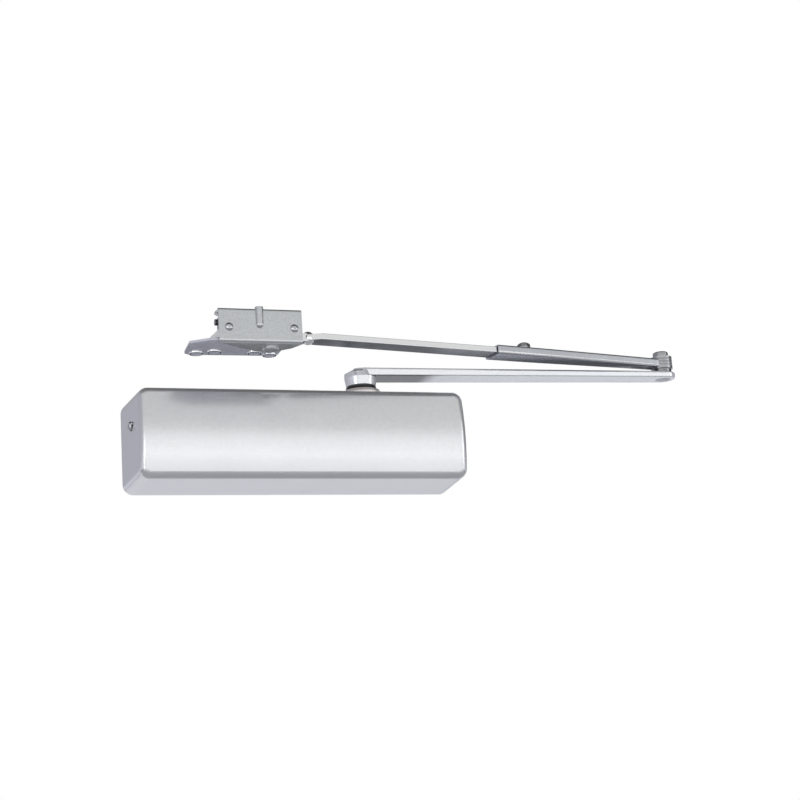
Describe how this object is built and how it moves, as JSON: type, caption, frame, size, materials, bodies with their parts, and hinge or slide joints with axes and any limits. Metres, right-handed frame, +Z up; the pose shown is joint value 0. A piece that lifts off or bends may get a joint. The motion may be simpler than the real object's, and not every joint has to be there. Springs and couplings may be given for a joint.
{
  "type": "surface door closer",
  "caption": "Surface door closer with a full silver cover, a jointed parallel arm with a telescoping rod, and a soffit shoe with a sprung cushion stop.",
  "frame": {"origin": "centre of the body's four mounting holes, on the door face", "axes": "+Z up along the pinion, +Y into the door face, +X along the body towards the elbow"},
  "size_m": [0.5365, 0.1366, 0.1389],
  "materials": {
    "cover_paint": "satin metallic silver",
    "cast_body": "cast, painted grey",
    "zinc_sheet": "zinc plated",
    "zinc_screw": "bright zinc plated",
    "machined_steel": "turned",
    "rubber": "black",
    "collar_metal": "turned, bright",
    "spring_steel": "oiled",
    "brass_fitting": "turned",
    "arm_paint": "gloss metallic silver",
    "rivet_steel": "plain, turned",
    "tube_paint": "satin metallic silver",
    "zinc_bar": "polished zinc plate",
    "plate_zinc": "dull zinc plate",
    "shoe_paint": "satin metallic silver",
    "nylon": "moulded"
  },
  "bodies": {
    "closer_body": {"body_casting": "cast_body", "cover": "cover_paint", "cover_bracket_left": "zinc_sheet", "cover_bracket_right": "zinc_sheet", "bracket_screws": "zinc_screw", "cover_screws": "zinc_screw", "spring_end_plug": "machined_steel", "valve_end_plug": "machined_steel", "spring_end_seal": "rubber", "valve_end_seal": "rubber", "upper_bearing": "machined_steel", "lower_bearing": "machined_steel", "upper_shaft_seal": "rubber", "upper_bearing_cap": "collar_metal", "lower_bearing_cap": "machined_steel", "valve_seals": "rubber", "main_spring": "spring_steel"},
    "swing_arm": {"pinion_shaft": "machined_steel", "main_arm": "arm_paint", "arm_spacer": "rubber", "arm_washer": "zinc_sheet", "arm_screw": "zinc_screw", "elbow_rivet": "rivet_steel", "elbow_washer": "rivet_steel"},
    "rack_piston": {"piston": "machined_steel", "check_retainer": "machined_steel"},
    "valve_ball": {"check_ball": "machined_steel"},
    "seat": {"spring_seat": "machined_steel"},
    "adjuster": {"spring_adjuster": "zinc_screw"},
    "latch_screw": {"latch_valve": "brass_fitting"},
    "sweep_screw": {"sweep_valve": "brass_fitting"},
    "backcheck_screw": {"backcheck_valve": "brass_fitting"},
    "forearm": {"forearm_tube": "tube_paint", "elbow_eye": "rivet_steel", "elbow_bush": "brass_fitting", "clamp_nut": "tube_paint"},
    "clamp": {"clamp_screw": "zinc_screw"},
    "slide_rod": {"rod_bar": "zinc_bar", "rod_hub": "rivet_steel", "hub_bush": "brass_fitting"},
    "soffit_shoe": {"soffit_plate": "plate_zinc", "cushion_housing": "shoe_paint", "pivot_rivet": "shoe_paint", "pivot_washer": "zinc_sheet", "spring_abutment": "rivet_steel", "guide_pin": "rivet_steel", "bumper_pad": "nylon", "housing_screws": "zinc_screw", "cushion_spring": "spring_steel"},
    "plunger": {"cushion_plunger": "machined_steel"}
  },
  "joints": [
    {"name": "main_arm_swing", "type": "hinge", "parent": "closer_body", "child": "swing_arm", "pos_m": [0.0643, -0.035, 0.052], "axis": [0, 0, 1], "range_deg": [-150, 20], "stiffness_Nm_per_rad": 8},
    {"name": "piston_slide", "type": "slide", "parent": "closer_body", "child": "rack_piston", "axis": [1, 0, 0], "range_m": [-0.0277, 0.0038], "deforming": ["main_spring"]},
    {"name": "ball_lift", "type": "slide", "parent": "rack_piston", "child": "valve_ball", "axis": [1, 0, 0], "range_m": [0, 0.0015]},
    {"name": "spring_adjust_turn", "type": "hinge", "parent": "closer_body", "child": "adjuster", "pos_m": [-0.13, -0.033, 0], "axis": [1, 0, 0], "range_deg": [0, 360]},
    {"name": "spring_seat_travel", "type": "slide", "parent": "closer_body", "child": "seat", "axis": [1, 0, 0], "range_m": [0, 0.0015]},
    {"name": "backcheck_valve_turn", "type": "hinge", "parent": "closer_body", "child": "backcheck_screw", "pos_m": [0.134, -0.0062, 0.014], "axis": [1, 0, 0], "range_deg": [0, 360]},
    {"name": "sweep_valve_turn", "type": "hinge", "parent": "closer_body", "child": "sweep_screw", "pos_m": [0.134, -0.0062, 0], "axis": [1, 0, 0], "range_deg": [0, 360]},
    {"name": "latch_valve_turn", "type": "hinge", "parent": "closer_body", "child": "latch_screw", "pos_m": [0.134, -0.0062, -0.014], "axis": [1, 0, 0], "range_deg": [0, 360]},
    {"name": "elbow_swing", "type": "hinge", "parent": "swing_arm", "child": "forearm", "pos_m": [0.369, -0.053, 0.077], "axis": [0, 0, 1], "range_deg": [-8, 140]},
    {"name": "clamp_screw_turn", "type": "hinge", "parent": "forearm", "child": "clamp", "pos_m": [0.21433, -0.0769, 0.083], "axis": [0, 0, 1], "range_deg": [0, 360]},
    {"name": "rod_slide", "type": "slide", "parent": "forearm", "child": "slide_rod", "axis": [-0.9883, -0.1527, 0], "range_m": [-0.01, 0.02]},
    {"name": "shoe_swivel", "type": "hinge", "parent": "slide_rod", "child": "soffit_shoe", "pos_m": [-0.042, -0.1165, 0.08], "axis": [0, 0, 1], "range_deg": [-110, 10]},
    {"name": "cushion_press", "type": "slide", "parent": "soffit_shoe", "child": "plunger", "axis": [-1, 0, 0], "range_m": [0, 0.003], "stiffness_N_per_m": 5000, "deforming": ["cushion_spring"]}
  ],
  "couplings": [
    {"joint": "piston_slide", "follows": "main_arm_swing", "m_per_rad": 0.0105},
    {"joint": "spring_adjust_turn", "follows": "spring_seat_travel", "rad_per_m": 4188}
  ]
}
